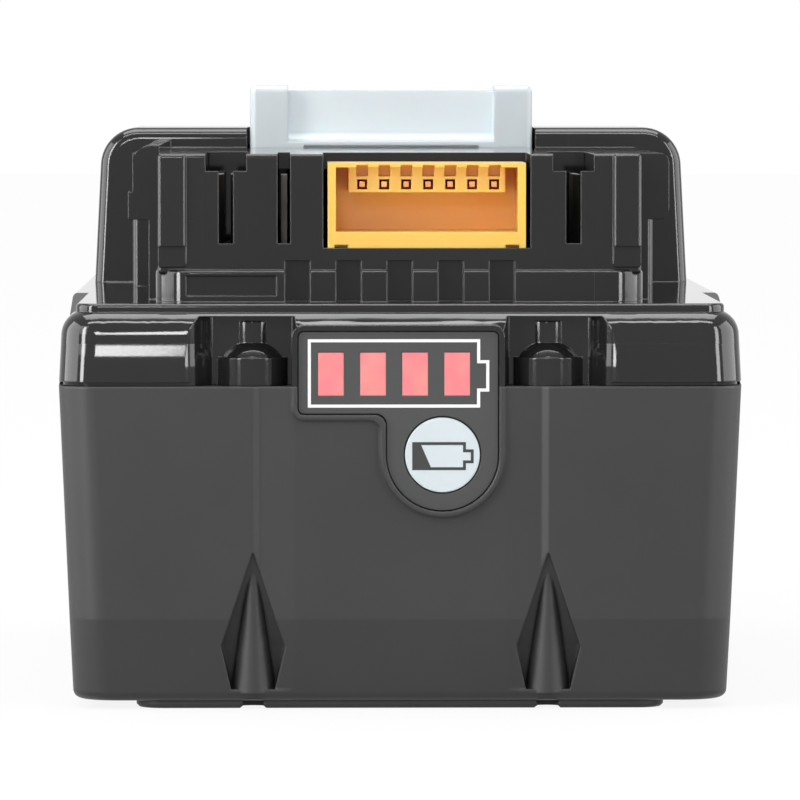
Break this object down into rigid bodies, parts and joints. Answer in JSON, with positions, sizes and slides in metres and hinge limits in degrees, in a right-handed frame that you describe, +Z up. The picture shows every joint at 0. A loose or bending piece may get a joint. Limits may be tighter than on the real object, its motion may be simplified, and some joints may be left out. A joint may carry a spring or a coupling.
{
  "type": "power tool battery pack",
  "caption": "Slide-on rechargeable battery pack with a drafted two-part case, terminal block with rails, charge gauge and sprung release latch.",
  "frame": {"origin": "centre of the bounding box in plan, at the base that the pack stands on", "axes": "+X to the right and +Z up as seen from the connector end, which faces -Y; +Y runs to the release button's end"},
  "size_m": [0.075, 0.114, 0.0684],
  "materials": {
    "tub_grey": "satin",
    "shell_black": "gloss",
    "latch_grey": "satin",
    "connector_yellow": "satin",
    "gauge_dark": "satin",
    "gauge_red": "gloss",
    "button_grey": "satin",
    "contact_copper": "satin",
    "nickel": "satin",
    "screw_steel": "satin",
    "spring_steel": "satin",
    "cell_wrap": "satin",
    "frame_black": "matte",
    "fish_paper": "matte",
    "foam_grey": "matte",
    "board_green": "satin",
    "chip_black": "matte",
    "shunt_alloy": "satin",
    "ribbon_white": "satin",
    "thermistor_black": "matte",
    "light_white": "gloss"
  },
  "bodies": {
    "pack": {"base_foam": "foam_grey", "board_capacitors": "chip_black", "board_screws": "screw_steel", "bus_strip_left_1": "nickel", "bus_strip_left_2": "nickel", "bus_strip_left_3": "nickel", "bus_strip_right_1": "nickel", "bus_strip_right_2": "nickel", "bus_strip_right_3": "nickel", "case_screws": "screw_steel", "cell_01": "cell_wrap", "cell_02": "cell_wrap", "cell_03": "cell_wrap", "cell_04": "cell_wrap", "cell_05": "cell_wrap", "cell_06": "cell_wrap", "cell_07": "cell_wrap", "cell_08": "cell_wrap", "cell_09": "cell_wrap", "cell_10": "cell_wrap", "cell_frame_left": "frame_black", "cell_frame_right": "frame_black", "connector_housing": "connector_yellow", "connector_pins": "contact_copper", "controller_chip": "chip_black", "gauge_board": "board_green", "gauge_lights": "light_white", "gauge_panel": "gauge_dark", "gauge_ribbon": "ribbon_white", "gauge_switch": "screw_steel", "gauge_windows": "gauge_red", "insulator_left": "fish_paper", "insulator_right": "fish_paper", "latch_spring": "spring_steel", "lower_case": "tub_grey", "main_board": "board_green", "power_transistors": "chip_black", "screw_plug": "frame_black", "shunt_resistor": "shunt_alloy", "signal_terminal": "contact_copper", "terminal_bases": "frame_black", "terminal_negative": "contact_copper", "terminal_positive": "contact_copper", "thermistor": "thermistor_black", "upper_case": "shell_black"},
    "release_latch": {"release_latch": "latch_grey"},
    "gauge_button": {"gauge_button": "button_grey", "switch_plunger": "light_white"}
  },
  "joints": [
    {"name": "latch_slide", "type": "slide", "parent": "pack", "child": "release_latch", "axis": [0, 0, -1], "range_m": [0, 0.005], "stiffness_N_per_m": 800, "springref_m": -0.002, "deforming": ["latch_spring"]},
    {"name": "gauge_button_press", "type": "slide", "parent": "pack", "child": "gauge_button", "axis": [0, 1, 0], "range_m": [0, 0.0005], "stiffness_N_per_m": 2000, "springref_m": -0.0003}
  ]
}
